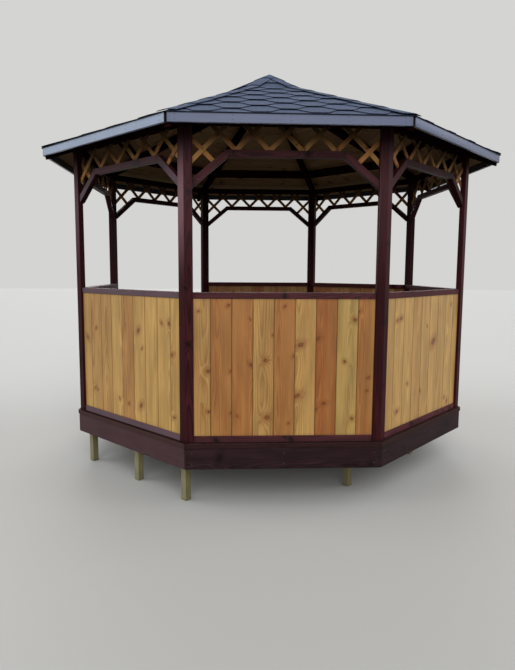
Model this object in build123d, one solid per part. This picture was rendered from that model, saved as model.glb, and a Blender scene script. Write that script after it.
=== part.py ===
from build123d import *
import math
import os

os.makedirs("parts", exist_ok=True)

# Frame: origin on the lowest ground under the middle of the gazebo, +Z up,
# front bay facing -Y, +X to the right of someone facing the front bay.
# Bays are numbered anticlockwise seen from above, bay 0 at the front.

SIDES = 8
TURN = 360 / SIDES
HALF_TURN = math.radians(TURN / 2)
BAY_NAMES = ["front", "front_right", "right", "back_right", "back", "back_left", "left", "front_left"]
ENTRANCE = "back_left"

# Posts and the octagon they stand on
panel_width = 1146.8
post_face = 52.6
post_side = 40
beam_setback = 26.6
joint_gap = 2

# Heights
deck_top = 430
deck_thickness = 30
skirt_height = 140
bottom_rail_height = 42
handrail_top = 955
handrail_thickness = 38
arch_rail_bottom = 1774
arch_rail_height = 42
lattice_height = 145
header_height = 47

# Widths and setbacks, measured from the outer faces of the posts
board_thickness = 17
board_recess = 5
rail_setback = 12.7
handrail_width = 66
bottom_rail_width = 42
arch_rail_width = 42
header_width = 66
deck_overhang = 17.3
skirt_recess = 6
skirt_thickness = 20
groove_depth = 11

# Floor frame and piles
rim_width = 42
joist_height = 70
joist_width = 42
joist_spacing = 375
bearer_width = 48
bearer_height = 66
bearer_setback = 43
pile_size = 48
pile_end_inset = 64
pile_shift = 40
inner_pile_reach = 1173

# Arch and lattice
arch_rail_half = 369
brace_angle = 40
slat_width = 28
slat_thickness = 8
slat_pitch = 204.5

# Roof
roof_pitch = 23
eave_overhang = 226
hip_notch = 28
fascia_height = 56
fascia_thickness = 19
fascia_gap = 8.5
sheathing_thickness = 17
shingle_thickness = 5
shingle_overhang = 6
hip_width = 42
hip_depth = 66
hub_apothem = 58
hub_drop = 178
purlin_setback = 234
purlin_width = 38
purlin_depth = 61
cap_width = 61
cap_thickness = 5
peak_apothem = 432
peak_rise = 64
peak_edge = 8
peak_thickness = 13

# Derived dimensions
cos_half = math.cos(HALF_TURN)
sin_half = math.sin(HALF_TURN)
tan_half = math.tan(HALF_TURN)
panel_half = panel_width / 2
post_apothem = (panel_half + post_face) / tan_half
post_line = post_apothem - beam_setback
post_radius = post_line / cos_half
rail_face = post_apothem - rail_setback
board_face = rail_face - board_recess
deck_edge = post_apothem + deck_overhang
skirt_face = deck_edge - skirt_recess
rim_face = skirt_face - skirt_thickness
rim_inner = rim_face - rim_width
outer_row = rim_inner - bearer_setback
inner_row = outer_row / 3
outer_bearer_edge = outer_row + bearer_width / 2
outer_bearer_half = rim_inner * tan_half + (rim_inner - outer_bearer_edge) / math.tan(2 * HALF_TURN)
outer_pile_reach = outer_bearer_half - pile_end_inset
header_bottom = arch_rail_bottom + arch_rail_height + lattice_height
header_top = header_bottom + header_height
eave_line = post_line + eave_overhang
covering_edge = eave_line + shingle_overhang
slope = math.tan(math.radians(roof_pitch))
hip_slope = slope * cos_half
pitch_cos = math.cos(math.radians(roof_pitch))
shingle_drop = shingle_thickness / pitch_cos
sheathing_drop = sheathing_thickness / pitch_cos
under_drop = shingle_drop + sheathing_drop
hip_fall = hip_depth / math.cos(math.atan(hip_slope))
hip_seat = deck_top + header_top - hip_notch
roof_top = hip_seat + hip_fall + under_drop + post_radius * hip_slope
header_outer = post_line + header_width / 2
header_inner = post_line - header_width / 2
purlin_apothem = header_inner - purlin_setback
floor_under = deck_top - deck_thickness
joist_under = floor_under - joist_height
bearer_under = joist_under - bearer_height
arch_top = deck_top + arch_rail_bottom + arch_rail_height
arch_middle = rail_face - arch_rail_width / 2
span = 4 * post_radius


def bay(shape, index):
    """Turn a front-bay shape round to another bay."""
    return Rot(0, 0, TURN * index) * shape


def export(shapes, name):
    """Write one named node."""
    items = shapes if isinstance(shapes, list) else [shapes]
    solids = []
    for item in items:
        solids.extend(item.solids())
    body = solids[0] if len(solids) == 1 else Compound(children=solids)
    export_step(body, "parts/" + name + ".step")


def prism(points, z_low, z_high):
    """Upright prism over a plan outline."""
    face = make_face(Polyline(*points, close=True))
    return Pos(0, 0, z_low) * extrude(face, z_high - z_low, dir=(0, 0, 1))


def octagon(apothem):
    """Plan points of the octagon with this apothem, a flat to the front."""
    radius = apothem / cos_half
    steps = [math.radians(-90 + TURN / 2 + TURN * k) for k in range(SIDES)]
    return [(radius * math.cos(a), radius * math.sin(a)) for a in steps]


def between_posts(outer, inner, z_low, z_high):
    """Front-bay piece that fits between the side faces of its two posts."""
    points = [(-panel_half, -outer), (panel_half, -outer), (panel_half, -inner), (-panel_half, -inner)]
    return prism(points, z_low, z_high)


def mitred(outer, inner, z_low, z_high, gap):
    """Front-bay piece with ends on the octagon's corner lines, less a joint gap."""
    cut = gap / 2 / cos_half
    outer_half = outer * tan_half - cut
    inner_half = inner * tan_half - cut
    points = [(-outer_half, -outer), (outer_half, -outer), (inner_half, -inner), (-inner_half, -inner)]
    return prism(points, z_low, z_high)


def roof_height(apothem, drop):
    """Height of the roof surface at this apothem, lowered by drop."""
    return roof_top - apothem * slope - drop


def tent(apothem, rim_z, apex_z, floor_z):
    """Solid eight-sided tent: upright walls from floor to rim, sloping faces up to an apex."""
    base = octagon(apothem)
    apex = (0, 0, apex_z)
    faces = []
    for k in range(SIDES):
        low = base[k - 1]
        high = base[k]
        tri = [(low[0], low[1], rim_z), (high[0], high[1], rim_z), apex]
        faces.append(make_face(Polyline(*tri, close=True)))
        quad = [(low[0], low[1], floor_z), (high[0], high[1], floor_z)]
        quad += [(high[0], high[1], rim_z), (low[0], low[1], rim_z)]
        faces.append(make_face(Polyline(*quad, close=True)))
    faces.append(make_face(Polyline(*[(x, y, floor_z) for x, y in base], close=True)))
    return Solid(Shell(faces))


def pyramid(drop, apothem, floor_z):
    """Solid under the roof surface, lowered by drop and cut off at this apothem."""
    return tent(apothem, roof_height(apothem, drop), roof_top - drop, floor_z)


def face_slab(far, top_drop, bottom_drop, gap):
    """Sloping front roof slab between two drops, with straight cut sides along the hips."""
    cut = gap / 2 / cos_half
    near = cut / tan_half + gap / 2
    far_half = far * tan_half - cut
    near_half = near * tan_half - cut
    low = [(-far_half, -far), (far_half, -far), (near_half, -near), (-near_half, -near)]
    tops = [(x, y, roof_height(-y, top_drop)) for x, y in low]
    unders = [(x, y, roof_height(-y, bottom_drop)) for x, y in low]
    faces = [make_face(Polyline(*tops, close=True)), make_face(Polyline(*unders, close=True))]
    for k in range(4):
        side = [tops[k - 1], tops[k], unders[k], unders[k - 1]]
        faces.append(make_face(Polyline(*side, close=True)))
    return Solid(Shell(faces))


# Piles and bearers lie parallel to the front-left bay
pile_turn = Rot(0, 0, -TURN)
piles = []
bearers = []
frame_limit = prism(octagon(rim_inner), 0, deck_top)
bearer_middle = (joist_under + bearer_under) / 2
rows = [(outer_row, outer_pile_reach, pile_shift), (inner_row, inner_pile_reach, 0)]
rows += [(-row_y, pile_reach, -shift) for row_y, pile_reach, shift in reversed(rows)]
for row_y, pile_reach, shift in rows:
    beam = Pos(0, row_y, bearer_middle) * Box(span, bearer_width, bearer_height)
    bearers.append((pile_turn * beam) & frame_limit)
    for column in (shift - pile_reach, 0, shift + pile_reach):
        pile = Pos(column, row_y, bearer_under / 2) * Box(pile_size, pile_size, bearer_under)
        piles.append(pile_turn * pile)
export(piles, "ground_piles")
export(bearers, "floor_bearers")

# Joists run across the bearers, inside a rim behind the skirt
joists = []
joist_middle = (joist_under + floor_under) / 2
for k in range(-3, 4):
    beam = Pos(k * joist_spacing, 0, joist_middle) * Box(joist_width, span, joist_height)
    joists.append((pile_turn * beam) & frame_limit)
export(joists, "floor_joists")
rim = mitred(rim_face, rim_inner, joist_under, floor_under, joint_gap)
export([bay(rim, k) for k in range(SIDES)], "rim_joists")
skirt = mitred(skirt_face, rim_face, floor_under - skirt_height, floor_under, joint_gap)
export([bay(skirt, k) for k in range(SIDES)], "skirt_boards")
export(prism(octagon(deck_edge), floor_under, deck_top), "deck_floor")

# Posts: five-sided, with an outer face along each of the two bays that meet there
post_tip = post_apothem / cos_half
face_radius = post_tip - post_face * sin_half
face_half = post_face * cos_half
back_radius = face_radius - post_side * cos_half
back_half = face_half - post_side * sin_half
post_section = [(0, -post_tip), (face_half, -face_radius), (back_half, -back_radius)]
post_section += [(-back_half, -back_radius), (-face_half, -face_radius)]
corner_post = Rot(0, 0, TURN / 2) * prism(post_section, deck_top, deck_top + header_bottom)
export([bay(corner_post, k) for k in range(SIDES)], "corner_posts")

# Parapets: boards let into grooves in the two rails
bottom_rail_top = deck_top + bottom_rail_height
handrail_under = deck_top + handrail_top - handrail_thickness
board_back = board_face - board_thickness
board_foot = bottom_rail_top - groove_depth
board_head = handrail_under + groove_depth
panel = between_posts(board_face, board_back, board_foot, board_head)
bottom_rail_back = rail_face - bottom_rail_width
bottom_rail = between_posts(rail_face, bottom_rail_back, deck_top, bottom_rail_top) - panel
handrail_back = rail_face - handrail_width
handrail = between_posts(rail_face, handrail_back, handrail_under, deck_top + handrail_top) - panel
walled = [k for k in range(SIDES) if BAY_NAMES[k] != ENTRANCE]
for k in walled:
    export(bay(panel, k), "parapet_" + BAY_NAMES[k])
export([bay(bottom_rail, k) for k in walled], "bottom_rails")
export([bay(handrail, k) for k in walled], "handrails")

# Arch rail, knee braces and lattice of the front bay
arch_back = rail_face - arch_rail_width
arch_low = arch_top - arch_rail_height
mitre = arch_rail_height * math.tan(math.radians(brace_angle / 2))
brace_slope = math.tan(math.radians(brace_angle))
arch_face = [(-arch_rail_half, arch_top), (arch_rail_half, arch_top)]
arch_face += [(arch_rail_half - mitre, arch_low), (mitre - arch_rail_half, arch_low)]


def upright(points, outer, inner):
    """Front-bay piece drawn in elevation and given depth."""
    face = make_face(Polyline(*[(x, -outer, z) for x, z in points], close=True))
    return extrude(face, outer - inner, dir=(0, 1, 0))


arch_rail = upright(arch_face, rail_face, arch_back)
reach = panel_half + post_face
brace_face = [(arch_rail_half, arch_top), (reach, arch_top - (reach - arch_rail_half) * brace_slope)]
low_start = arch_rail_half - mitre
brace_face += [(reach, arch_low - (reach - low_start) * brace_slope), (low_start, arch_low)]
bay_space = between_posts(rail_face, arch_back, deck_top, deck_top + header_bottom)
right_brace = upright(brace_face, rail_face, arch_back) & bay_space
left_brace = mirror(right_brace, about=Plane.YZ)
export([bay(arch_rail, k) for k in range(SIDES)], "arch_rails")
export([bay(piece, k) for k in range(SIDES) for piece in (right_brace, left_brace)], "knee_braces")

spandrel = [(-reach, deck_top + header_bottom), (reach, deck_top + header_bottom)]
spandrel += [(reach, arch_top - (reach - arch_rail_half) * brace_slope), (arch_rail_half, arch_top)]
spandrel += [(-arch_rail_half, arch_top), (-reach, arch_top - (reach - arch_rail_half) * brace_slope)]
lattice_outer = arch_middle + slat_thickness
lattice_inner = arch_middle - slat_thickness
lattice_space = upright(spandrel, lattice_outer, lattice_inner) & bay_space
slats = []
for column in range(-3, 3):
    foot = (column + 0.5) * slat_pitch
    for lean, layer in ((45, 1), (-45, -1)):
        depth = arch_middle + layer * slat_thickness / 2
        slat = Box(slat_width, slat_thickness, 2 * reach)
        slats.append(Pos(foot, -depth, arch_top) * Rot(0, lean, 0) * slat)
slat_cloth = slats[0].fuse(*slats[1:])
lattice = lattice_space & slat_cloth
lattice_pieces = lattice.solids()
for k in range(SIDES):
    export([bay(piece, k) for piece in lattice_pieces], "lattice_" + BAY_NAMES[k])

# Header beams on the posts
header = mitred(header_outer, header_inner, deck_top + header_bottom, deck_top + header_top, joint_gap)
headers = [bay(header, k) for k in range(SIDES)]
export(headers, "header_beams")

# Fascia boards under the sheathing edge, with an open gap at each corner
fascia_top_z = roof_height(eave_line, shingle_drop)
fascia_inner = eave_line - fascia_thickness
fascia_under_z = fascia_top_z - fascia_height
fascia_block = mitred(eave_line, fascia_inner, fascia_under_z, fascia_top_z + fascia_thickness, 0)
square_end = eave_line * tan_half - fascia_gap
fascia_keep = Pos(0, 0, fascia_top_z) * Box(2 * square_end, span, span)
sheathing_solid = pyramid(shingle_drop, eave_line + eave_overhang, deck_top)
fascia = fascia_block & fascia_keep & sheathing_solid
export([bay(fascia, k) for k in range(SIDES)], "fascia_boards")

# Hip rafters notched over the header corners, meeting a hub under the peak
under_solid = pyramid(under_drop, eave_line + eave_overhang, deck_top)
hub_top = roof_top - under_drop
hub = (Rot(0, 0, TURN / 2) * prism(octagon(hub_apothem), hub_top - hub_drop, hub_top)) & under_solid
tail_radius = fascia_inner / cos_half
hip_low = hub_top - hip_fall
hip_outline = [(0, 0, hip_low), (0, -tail_radius, hip_low - tail_radius * hip_slope)]
hip_outline += [(0, -tail_radius, roof_top), (0, 0, roof_top)]
hip_face = make_face(Polyline(*hip_outline, close=True))
hip_blank = Pos(-hip_width / 2, 0, 0) * extrude(hip_face, hip_width, dir=(1, 0, 0))
hip = (Rot(0, 0, TURN / 2) * hip_blank) & under_solid & prism(octagon(fascia_inner), deck_top, roof_top)
hip = hip - hub - headers[0] - headers[1]
export([bay(hip, k) for k in range(SIDES)], "hip_rafters")
export(hub, "roof_hub")

# Purlin ring between the hip rafters
purlin_cut = hip_width / 2 / cos_half
purlin_low = roof_height(purlin_apothem + purlin_width / 2, under_drop) - purlin_depth
purlin_outer = purlin_apothem + purlin_width / 2
purlin_inner = purlin_apothem - purlin_width / 2
outer_half = purlin_outer * tan_half - purlin_cut
inner_half = purlin_inner * tan_half - purlin_cut
purlin_plan = [(-outer_half, -purlin_outer), (outer_half, -purlin_outer)]
purlin_plan += [(inner_half, -purlin_inner), (-inner_half, -purlin_inner)]
purlin = prism(purlin_plan, purlin_low, roof_top) & under_solid
export([bay(purlin, k) for k in range(SIDES)], "purlins")

# Sheathing and shingle covering, face by face
sheathing = face_slab(fascia_inner, shingle_drop, under_drop, joint_gap)
export([bay(sheathing, k) for k in range(SIDES)], "roof_sheathing")
covering = face_slab(covering_edge, 0, shingle_drop, joint_gap)
for k in range(SIDES):
    export(bay(covering, k), "roof_face_" + BAY_NAMES[k])

# Steeper peak shell over the top of the roof
peak_low = roof_height(peak_apothem, 0)
peak_solid = tent(peak_apothem, peak_low + peak_edge, roof_top + peak_rise, deck_top)
peak_under = peak_low + peak_edge - peak_thickness
peak_hollow = tent(peak_apothem, peak_under, roof_top + peak_rise - peak_thickness, deck_top)
covering_solid = pyramid(0, covering_edge + cap_width, deck_top)
peak = peak_solid - peak_hollow - covering_solid
export(peak, "roof_peak")

# Hip caps folded over the hips below the peak
cap_drop = cap_thickness / pitch_cos
cap_solid = pyramid(-cap_drop, covering_edge, deck_top)
cap_reach = covering_edge / cos_half
cap_strip = Rot(0, 0, TURN / 2) * Pos(0, -cap_reach / 2, roof_top) * Box(2 * cap_width, cap_reach, span)
hip_cap = (cap_solid & cap_strip) - covering_solid - peak_solid
export([bay(hip_cap, k) for k in range(SIDES)], "hip_caps")
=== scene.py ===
"""Looks of an octagonal timber garden gazebo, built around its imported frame, in metres."""

import logging
import math
import random
from contextlib import contextmanager
from dataclasses import dataclass, replace
from enum import Enum
from typing import Any, Callable, Iterator, Sequence

import bpy
import numpy as np
from mathutils import Matrix, Vector


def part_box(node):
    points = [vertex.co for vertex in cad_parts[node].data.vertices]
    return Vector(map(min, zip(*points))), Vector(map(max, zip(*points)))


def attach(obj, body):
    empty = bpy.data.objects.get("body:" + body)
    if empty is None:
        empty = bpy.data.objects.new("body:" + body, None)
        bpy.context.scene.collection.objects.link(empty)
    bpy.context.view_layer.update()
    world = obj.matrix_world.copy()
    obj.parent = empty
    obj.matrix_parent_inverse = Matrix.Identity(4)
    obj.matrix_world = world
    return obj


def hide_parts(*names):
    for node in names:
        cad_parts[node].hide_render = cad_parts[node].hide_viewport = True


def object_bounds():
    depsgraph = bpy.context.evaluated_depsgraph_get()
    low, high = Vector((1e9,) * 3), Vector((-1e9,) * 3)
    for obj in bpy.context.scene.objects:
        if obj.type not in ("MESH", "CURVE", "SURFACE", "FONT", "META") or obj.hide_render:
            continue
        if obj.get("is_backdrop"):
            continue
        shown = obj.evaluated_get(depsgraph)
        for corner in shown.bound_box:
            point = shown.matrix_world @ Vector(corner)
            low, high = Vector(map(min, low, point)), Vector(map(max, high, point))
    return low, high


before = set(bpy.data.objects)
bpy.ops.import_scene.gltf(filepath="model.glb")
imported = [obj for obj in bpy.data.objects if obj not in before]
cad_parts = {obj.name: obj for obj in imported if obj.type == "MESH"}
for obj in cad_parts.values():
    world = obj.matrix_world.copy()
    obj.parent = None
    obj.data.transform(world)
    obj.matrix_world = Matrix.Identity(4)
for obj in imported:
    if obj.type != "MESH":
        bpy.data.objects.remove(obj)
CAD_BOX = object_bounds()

LOG = logging.getLogger("gazebo")
Colour = tuple[float, float, float, float]
Range = tuple[float, float]
Triple = tuple[float, float, float]
Piece = bpy.types.Object

SIDES = 8
BAYS = ("front", "front_right", "right", "back_right", "back", "back_left", "left", "front_left")
OPEN_BAY = "back_left"
TURN = 360.0 / SIDES
HALF = math.radians(TURN / 2)
# Half lengths of pieces before they are sawn to fit their bay or the floor
ROUGH_HALF = 0.8
ROUGH_RADIUS = 1.7
# Corners that stay sharp, and edges of a CAD mesh that are no real edges
SMOOTH_UNDER = math.radians(25)
FLAT_UNDER = math.radians(0.6)
WELD = 0.00002
KNOTS = ("knot_a", "knot_b", "knot_c")
NO_KNOT: Triple = (9.0, 9.0, 0.001)


def shade(*screen: int) -> Colour:
    """Linear colour of a screen's red, green and blue, each up to 255."""
    parts = [c / 255 for c in screen]
    return (*(c / 12.92 if c <= 0.04045 else ((c + 0.055) / 1.055) ** 2.4 for c in parts), 1.0)


# Shader maths


def maths(operation: str, swapped: bool = False) -> Callable[["Value", "Number"], "Value"]:
    """Method of a value that adds one Math node.

    Args:
        operation: Operation of the node.
        swapped: Whether the other number comes first.

    Returns:
        The method.
    """

    def method(self: "Value", other: "Number") -> "Value":
        """Result of the node."""
        return self.sheet.math(operation, *((other, self) if swapped else (self, other)))

    return method


class Value:
    """Socket of a shader, whose arithmetic adds the Math nodes."""

    __add__ = __radd__ = maths("ADD")
    __sub__ = maths("SUBTRACT")
    __rsub__ = maths("SUBTRACT", swapped=True)
    __mul__ = __rmul__ = maths("MULTIPLY")
    __truediv__ = maths("DIVIDE")
    __pow__ = maths("POWER")
    least = maths("MINIMUM")
    most = maths("MAXIMUM")

    def __init__(self, sheet: "Sheet", socket: bpy.types.NodeSocket) -> None:
        """Wraps one output socket of a sheet."""
        self.sheet = sheet
        self.socket = socket

    def size(self) -> "Value":
        """Distance from zero."""
        return self.sheet.math("ABSOLUTE", self)

    def fraction(self) -> "Value":
        """Part after the point."""
        return self.sheet.math("FRACT", self)

    def rise(self, low: float, high: float) -> "Value":
        """Smooth step from 0 at low to 1 at high."""
        ends = {"Value": self, "From Min": low, "From Max": high}
        return self.sheet.add("MapRange", {"interpolation_type": "SMOOTHSTEP"}, ends)


Number = Value | float


class Sheet:
    """Node sheet of a material or of the world."""

    def __init__(self, tree: bpy.types.NodeTree) -> None:
        """Starts with an emptied node tree."""
        self.tree = tree
        self.tree.nodes.clear()

    def add(self, kind: str, settings: dict[str, Any], values: dict[Any, Any], out: Any = 0) -> Value:
        """Adds any node.

        Args:
            kind: Node type without its ShaderNode prefix.
            settings: Node settings, made first.
            values: Socket name or number, and its value or link.
            out: Name or number of the output that is wanted.

        Returns:
            The wanted output.
        """
        node = self.tree.nodes.new("ShaderNode" + kind)
        for key, setting in settings.items():
            setattr(node, key, setting)
        for key, value in values.items():
            socket = node.inputs[key]
            if isinstance(value, Value):
                self.tree.links.new(value.socket, socket)
            else:
                socket.default_value = value
        return Value(self, node.outputs[out])

    def math(self, operation: str, *terms: Number) -> Value:
        """One Math node."""
        return self.add("Math", {"operation": operation}, dict(enumerate(terms)))

    def attribute(self, name: str) -> Value:
        """Vector attribute of the piece."""
        return self.add("Attribute", {"attribute_name": name}, {}, "Vector")

    def split(self, vector: Value) -> tuple[Value, Value, Value]:
        """Three numbers of a vector."""
        node = self.add("SeparateXYZ", {}, {0: vector})
        return tuple(Value(self, s) for s in node.socket.node.outputs)

    def join(self, x: Number, y: Number, z: Number) -> Value:
        """Vector of three numbers."""
        return self.add("CombineXYZ", {}, {0: x, 1: y, 2: z})

    def noise(self, vector: Value, scale: float, detail: float = 2.0, rough: float = 0.5) -> Value:
        """Noise from 0 to 1."""
        values = {"Vector": vector, "Scale": scale, "Detail": detail, "Roughness": rough}
        return self.add("TexNoise", {}, values, "Fac")

    def mix(self, factor: Number, first: Any, second: Any) -> Value:
        """Blend of two colours."""
        return self.add("Mix", {"data_type": "RGBA"}, {0: factor, 6: first, 7: second}, 2)

    def scale(self, colour: Value, factor: Number) -> Value:
        """Colour made lighter or darker by a number."""
        return self.add("VectorMath", {"operation": "SCALE"}, {0: colour, "Scale": factor})

    def dot(self, first: Any, second: Any) -> Value:
        """Dot product of two vectors."""
        return self.add("VectorMath", {"operation": "DOT_PRODUCT"}, {0: first, 1: second}, "Value")

    def bump(self, height: Value, strength: float, distance: float) -> Value:
        """Normal roughened by a height."""
        return self.add("Bump", {}, {"Strength": strength, "Distance": distance, "Height": height})

    def seen(self) -> Value:
        """Mask of the camera's rays: straight, reflected or through glass.

        Returns:
            1 for those rays and 0 for others.
        """
        kinds = ("Is Camera Ray", "Is Glossy Ray", "Is Transmission Ray")
        straight, reflected, passed = (self.add("LightPath", {}, {}, kind) for kind in kinds)
        return straight.most(reflected).most(passed)

    def end(self, kind: str, shader: Value) -> None:
        """Links a shader to a new output node of the sheet."""
        node = self.tree.nodes.new("ShaderNodeOutput" + kind)
        self.tree.links.new(shader.socket, node.inputs["Surface"])


def material(name: str, surface: Callable[[Sheet], dict[str, Any]]) -> bpy.types.Material:
    """Material with a Principled shader, made when it is first asked for.

    Args:
        name: Name of the material.
        surface: Gives the values and links of the shader's sockets.

    Returns:
        The material.
    """
    ready = bpy.data.materials.get(name)
    if not ready:
        ready = bpy.data.materials.new(name)
        ready.use_nodes = True
        sheet = Sheet(ready.node_tree)
        sheet.end("Material", sheet.add("BsdfPrincipled", {}, surface(sheet)))
    return ready


# Finishes


@dataclass(frozen=True)
class TimberFinish:
    """Wood with growth rings, fibres and knots: bare, stained or painted."""

    name: str
    pale: Colour
    warm: Colour
    late: Colour
    knot: Colour
    worn: Colour
    damp: Colour = shade(0, 0, 0)
    # Colour of weathering mixed with painted sky light on faces turned to the lit side
    bleach_and_sky_light: Colour = shade(0, 0, 0)
    ring: float = 0.0048
    figure: float = 0.55
    fibre: float = 0.22
    streak: float = 0.3
    knots: float = 0.9
    wear: float = 0.3
    damp_top: float = 0.6
    damp_share: float = 0.2
    bleach_and_sky_light_share: float = 0.0
    rough: float = 0.55
    shine: float = 0.4
    coat: float = 0.0
    coat_rough: float = 0.32
    relief: float = 0.35
    relief_depth: float = 0.0012
    checks: float = 0.0
    blotch: float = 0.0
    seam: float = 0.0
    # Strength of the painted shade under the roof
    eaves_shade: float = 0.0
    dark_back: float = 0.0
    cloud: float = 0.15
    heart_side: float = 0.14
    heart_depth: float = 0.018
    heart_range: float = 0.09
    sway: float = 0.034
    taper: float = 0.035
    end_dark: float = 0.28
    end_depth: float = 0.03
    seam_edge: Range = (0.0012, 0.0065)
    worn_edge: Range = (0.0004, 0.0045)
    dark_ends: Range = (0.0012, 0.0028)
    crack_width: float = 0.018
    # Side that the painted sky light comes from, and the bands where it fades under the roof, rises up
    # the posts and gives way to painted shade on the left posts
    sky_light_from: Triple = (-0.75, -0.66, 0.0)
    eaves: Range = (2.0, 2.35)
    under_roof: Range = (2.2, 2.4)
    post_half: Range = (0.75, 0.9)
    post_top: Range = (1.4, 1.95)
    painted_left_shade_reach: Range = (1.2, 1.4)

    def surface(self, s: Sheet) -> dict[str, Any]:
        """Surface in each timber's own grain frame.

        Args:
            s: Sheet of the material.

        Returns:
            Values of the shader.
        """
        length, across, through = s.split(s.attribute("place"))
        half_l, half_a, half_t = s.split(s.attribute("half"))
        seed_x, seed_y, seed_z = s.split(s.attribute("seed"))
        tone_x, tone_y, tone_z = s.split(s.attribute("tone"))
        # Growth rings round a heart that drifts along the timber
        over = across * 6.0 + seed_y * 17.0
        warp = s.join(length + seed_x * 31.0, over, through * 6.0 + seed_z * 13.0)
        drift = s.noise(warp, 1.3, 2.0) - 0.5
        ripple = s.noise(warp, 6.0, 2.0) - 0.5
        side = across - (seed_y - 0.5) * self.heart_side
        deep = through + self.heart_depth + seed_z * self.heart_range
        radius = (side * side + deep * deep) ** 0.5
        radius = radius + drift * self.sway + ripple * 0.004 + length * (seed_x - 0.5) * self.taper
        spot = s.join(length + seed_y * 3.0, across + seed_z * 5.0, seed_x)
        gnarl = s.noise(spot, 65.0, 2.0) - 0.5
        # Knots, with a rim and with rings that bend round them
        knot_mask: Number = 0.0
        knot_rim: Number = 0.0
        halo: Number = 0.0
        for name in KNOTS:
            knot_l, knot_a, knot_r = s.split(s.attribute(name))
            da = (across - knot_a + gnarl * 0.006) * (0.55 + seed_x * 0.6)
            dl = length - knot_l + ripple * 0.012 + da * (seed_y - 0.5) * 1.1
            reach = ((dl * dl + da * da) ** 0.5 + gnarl * 0.009) / knot_r
            knot_mask = (1.0 - reach.rise(0.6, 1.15)).most(knot_mask)
            knot_rim = (reach.rise(0.55, 0.95) * (1.0 - reach.rise(0.95, 1.3))).most(knot_rim)
            halo = (1.0 - reach.rise(0.9, 4.2)).most(halo)
            radius = radius + knot_r * 1.7 / (1.0 + reach * reach * 0.3)
        # Rings, fibres and streaks
        turn = (radius / self.ring).fraction()
        late = turn.rise(0.25, 0.85) * (1.0 - turn.rise(0.9, 1.0))
        threads = s.join(length * 5.0 + seed_x * 7.0, across * 330.0 + seed_y * 9.0, through * 330.0)
        fibres = s.noise(threads, 1.0, 3.0, 0.6)
        runs = s.join(length * 1.4 + seed_z * 5.0, across * 55.0, through * 55.0)
        streaks = s.noise(runs, 1.0, 3.0, 0.6)
        patches = s.noise(warp, 3.1, 3.0)
        strips = s.join(length * 1.1 + seed_x * 23.0, across * 26.0 + seed_y * 5.0, seed_z)
        bands = s.noise(strips, 1.0, 3.0)
        colour = s.mix(tone_x + (bands - 0.5) * self.blotch, self.pale, self.warm)
        colour = s.mix(late * self.figure * (0.55 + streaks * 0.7), colour, self.late)
        colour = s.mix(tone_z * 0.6, colour, self.damp)
        light = tone_y * (1.0 + (fibres - 0.5) * self.fibre + (streaks - 0.5) * self.streak)
        light = light * (1.0 + (patches.rise(0.3, 0.7) - 0.5) * self.cloud)
        colour = s.scale(colour, light)
        heart = s.mix(gnarl.rise(-0.12, 0.12), self.knot, self.late)
        colour = s.mix(halo * self.knots * 0.65, colour, self.late)
        colour = s.mix(knot_mask * self.knots, colour, heart)
        colour = s.mix(knot_rim * self.knots * 0.7, colour, self.knot)
        # Ends, board joints and worn arrises
        end = half_l - length.size()
        lit = 1.0 - self.end_dark + end.rise(0.0, self.end_depth) * self.end_dark
        colour = s.scale(colour, lit)
        gap_a = half_a - across.size()
        colour = s.mix((1.0 - gap_a.rise(*self.seam_edge)) * self.seam, colour, self.knot)
        gap_t = half_t - through.size()
        arris = gap_a.least(gap_t).most(gap_a.most(gap_t).least(end))
        chips = s.noise(warp, 40.0, 3.0)
        worn = (1.0 - arris.rise(*self.worn_edge)) * chips.rise(0.42, 0.62) * self.wear
        colour = s.mix(worn, colour, self.worn)
        # Damp low down, then by the place on the gazebo: weathering mixed with painted sky light, dark
        # backs and painted shade under the roof
        position = s.add("TexCoord", {}, {}, "Object")
        x, y, z = s.split(position)
        normal = s.add("NewGeometry", {}, {}, "Normal")
        outward = s.add("VectorMath", {"operation": "NORMALIZE"}, {0: s.join(x, y, 0.0)})
        turned = s.dot(normal, outward)
        facing = turned.rise(0.15, 0.8)
        patchiness = s.noise(position, 5.0, 4.0)
        low = (1.0 - z.rise(0.0, self.damp_top)) * patchiness.rise(0.3, 0.75)
        colour = s.mix(low * self.damp_share, colour, self.damp)
        # Weathering mixed with painted sky light on outward faces turned to the lit side, strongest
        # high on the posts, held back by painted shade on the left posts and under the roof
        if self.bleach_and_sky_light_share:
            clear_of_roof_shade = 1.0 - z.rise(*self.eaves) * self.eaves_shade
            tall = half_l.rise(*self.post_half)
            painted_left_shade = 1.0 - (x * -1.0).rise(*self.painted_left_shade_reach) * 0.6
            post_sky_light_by_height = 1.0 + tall * (z.rise(*self.post_top) * painted_left_shade * 1.6 - 1.0)
            sky_lit_side = 0.1 + s.dot(normal, self.sky_light_from).rise(0.68, 0.95) * 0.9
            bleached_and_sky_lit = facing * clear_of_roof_shade * post_sky_light_by_height * sky_lit_side * self.bleach_and_sky_light_share * (0.6 + patchiness * 0.6)
            colour = s.mix(bleached_and_sky_lit, colour, self.bleach_and_sky_light)
        # Inner faces and board ends darkened to the damp colour
        if self.dark_back:
            darkened = (1.0 - turned.rise(-0.6, -0.2)).most(1.0 - end.rise(*self.dark_ends))
            colour = s.mix(darkened * self.dark_back, colour, self.damp)
        # Painted shade under the roof: colour darkened towards the eaves
        if self.eaves_shade:
            colour = s.scale(colour, 1.0 - z.rise(*self.under_roof) * self.eaves_shade * 0.45)
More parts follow.
